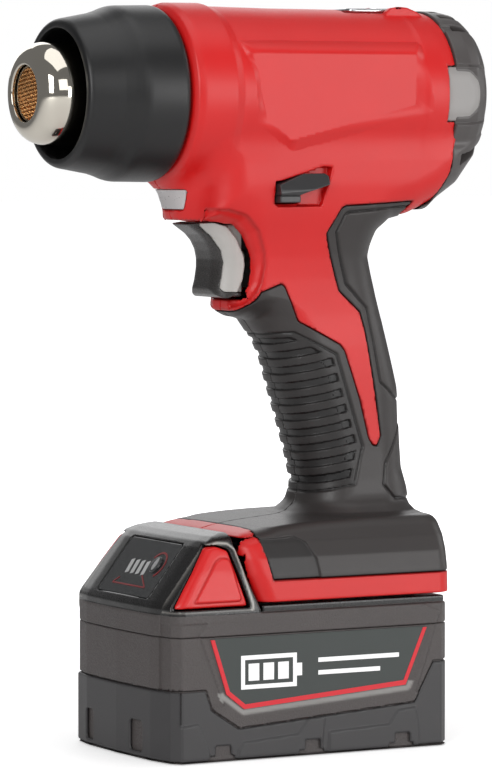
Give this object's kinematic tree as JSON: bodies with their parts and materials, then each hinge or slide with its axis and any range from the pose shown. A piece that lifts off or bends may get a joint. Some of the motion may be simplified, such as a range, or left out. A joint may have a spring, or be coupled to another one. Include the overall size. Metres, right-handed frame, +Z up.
{
  "type": "cordless heat gun",
  "caption": "Pistol-grip cordless hot-air gun with a steel nozzle, flared nozzle guard, trigger, lock shuttle, folding hook and a slide-on battery pack it stands on.",
  "frame": {"origin": "middle of the battery pack's resting face", "axes": "+Z up; the nozzle points along -X; the tool's left-hand side is -Y; the barrel axis is parallel to X at Z 239.2 mm"},
  "size_m": [0.1823, 0.08, 0.2722],
  "materials": {
    "red_plastic": "fine satin moulded",
    "soft_grip": "fine matt moulded",
    "dark_plastic": "matt glass-filled",
    "guard_plastic": "satin",
    "polished_steel": "polished",
    "bright_steel": "satin",
    "motor_steel": "satin",
    "bronze": "sintered",
    "screen_wire": "heat-tinted",
    "mica": "layered",
    "ceramic": "matt ceramic",
    "heating_wire": "drawn wire",
    "lens": "frosted",
    "circuit_board": "solder mask",
    "trigger_plastic": "satin",
    "white_plastic": "moulded",
    "black_plastic": "moulded",
    "lead_red": "insulation",
    "contact_metal": "plated",
    "screw_steel": "blackened",
    "nickel": "strip",
    "pack_plastic": "grained",
    "pack_bumper": "smooth satin",
    "label": "printed",
    "gauge_panel": "printed film",
    "gauge_light": "smoked",
    "gauge_button": "smooth",
    "red_button": "satin",
    "cell_wrap": "shrink sleeve"
  },
  "bodies": {
    "tool": {"housing_left": "red_plastic", "housing_right": "red_plastic", "grip_cover_left": "soft_grip", "grip_cover_right": "soft_grip", "rear_cover": "dark_plastic", "fan_shroud": "dark_plastic", "nozzle_guard": "guard_plastic", "nozzle": "polished_steel", "hook_pin": "bright_steel", "trigger_spring": "bright_steel", "heater_tube": "bright_steel", "intake_screen": "bright_steel", "motor_can": "motor_steel", "bearings": "bronze", "outlet_screen": "screen_wire", "heater_liner": "mica", "insulating_ring": "mica", "heater_core": "ceramic", "thermal_fuse": "ceramic", "heating_coil": "heating_wire", "led_lens": "lens", "led_board": "circuit_board", "control_board": "circuit_board", "trigger_switch": "black_plastic", "terminal_block": "black_plastic", "supply_leads": "lead_red", "terminal_blades": "contact_metal", "housing_screws": "screw_steel"},
    "rotor": {"motor_shaft": "motor_steel", "armature": "motor_steel", "impeller": "dark_plastic"},
    "hook": {"hanging_hook": "bright_steel"},
    "trigger": {"trigger": "trigger_plastic", "switch_plunger": "white_plastic"},
    "shuttle": {"lock_shuttle": "dark_plastic"},
    "pack": {"pack_lower_case": "pack_plastic", "pack_upper_case": "pack_plastic", "pack_bumper": "pack_bumper", "pack_label_left": "label", "pack_label_right": "label", "gauge_panel": "gauge_panel", "gauge_lights": "gauge_light", "latch_springs": "bright_steel", "cells": "cell_wrap", "cell_frame": "white_plastic", "cell_tabs": "nickel", "pack_board": "circuit_board", "pack_terminals": "contact_metal", "pack_screws": "screw_steel"},
    "gauge_key": {"gauge_button": "gauge_button"},
    "release_left": {"release_button_left": "red_button"},
    "release_right": {"release_button_right": "red_button"}
  },
  "joints": [
    {"name": "pack_slide", "type": "slide", "parent": "tool", "child": "pack", "axis": [-1, 0, 0], "range_m": [0, 0.085]},
    {"name": "trigger_pull", "type": "slide", "parent": "tool", "child": "trigger", "axis": [1, 0, 0], "range_m": [0, 0.0055], "stiffness_N_per_m": 600, "springref_m": -0.006, "deforming": ["trigger_spring"]},
    {"name": "lock_slide", "type": "slide", "parent": "tool", "child": "shuttle", "axis": [0, 1, 0], "range_m": [-0.003, 0.003]},
    {"name": "rotor_spin", "type": "hinge", "parent": "tool", "child": "rotor", "pos_m": [0, 0, 0.2392], "axis": [1, 0, 0], "continuous": true},
    {"name": "hook_fold", "type": "hinge", "parent": "tool", "child": "hook", "pos_m": [0.05, 0, 0.2699], "axis": [0, 1, 0], "range_deg": [0, 150]},
    {"name": "gauge_press", "type": "slide", "parent": "pack", "child": "gauge_key", "axis": [0.7859, 0, -0.6184], "range_m": [0, 0.0008], "stiffness_N_per_m": 2000, "springref_m": -0.0006},
    {"name": "release_left_press", "type": "slide", "parent": "pack", "child": "release_left", "axis": [0, 1, 0], "range_m": [0, 0.0025], "stiffness_N_per_m": 1500, "springref_m": -0.002, "deforming": ["latch_springs"]},
    {"name": "release_right_press", "type": "slide", "parent": "pack", "child": "release_right", "axis": [0, -1, 0], "range_m": [0, 0.0025], "stiffness_N_per_m": 1500, "springref_m": -0.002, "deforming": ["latch_springs"]}
  ]
}
